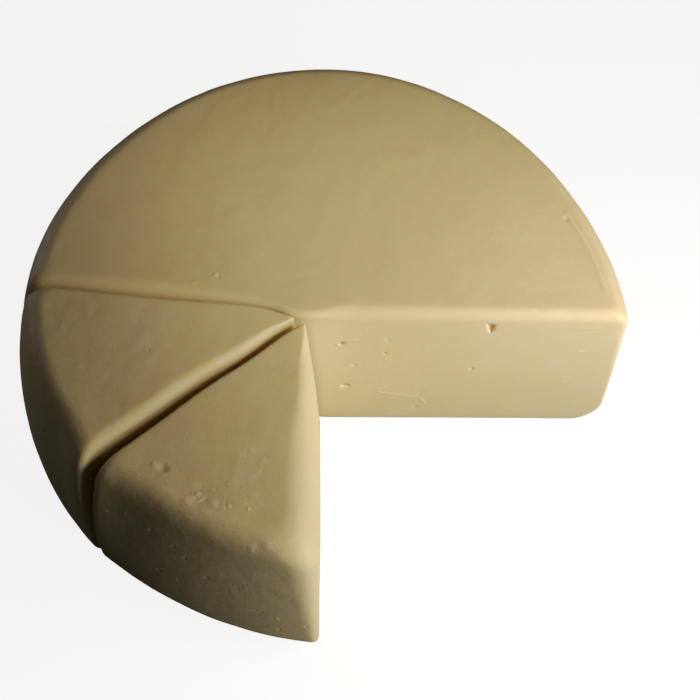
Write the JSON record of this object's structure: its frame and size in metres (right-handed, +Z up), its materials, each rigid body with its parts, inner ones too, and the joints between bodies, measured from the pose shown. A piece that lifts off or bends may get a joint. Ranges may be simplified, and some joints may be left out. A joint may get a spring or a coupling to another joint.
{
  "type": "kasseri cheese",
  "caption": "Wheel of semi-hard cheese lying flat, with a wide sector cut out and wedges cut free beside it, its cut faces flat and its edges softly rounded.",
  "frame": {"origin": "centre of the bounding box of the cut wheel, on the surface that it lies on", "axes": "+Z up along the wheel's axis, +X to the right and +Y to the back as the missing quarter faces front right"},
  "size_m": [0.2882, 0.2916, 0.095],
  "materials": {
    "back_piece_cheese": "pale straw-yellow cheese, slightly waxy",
    "left_wedge_cheese": "pale straw-yellow cheese, slightly waxy",
    "front_wedge_cheese": "pale straw-yellow cheese, slightly waxy"
  },
  "bodies": {
    "root": {"back_piece": "back_piece_cheese", "left_wedge": "left_wedge_cheese", "front_wedge": "front_wedge_cheese"}
  },
  "joints": []
}
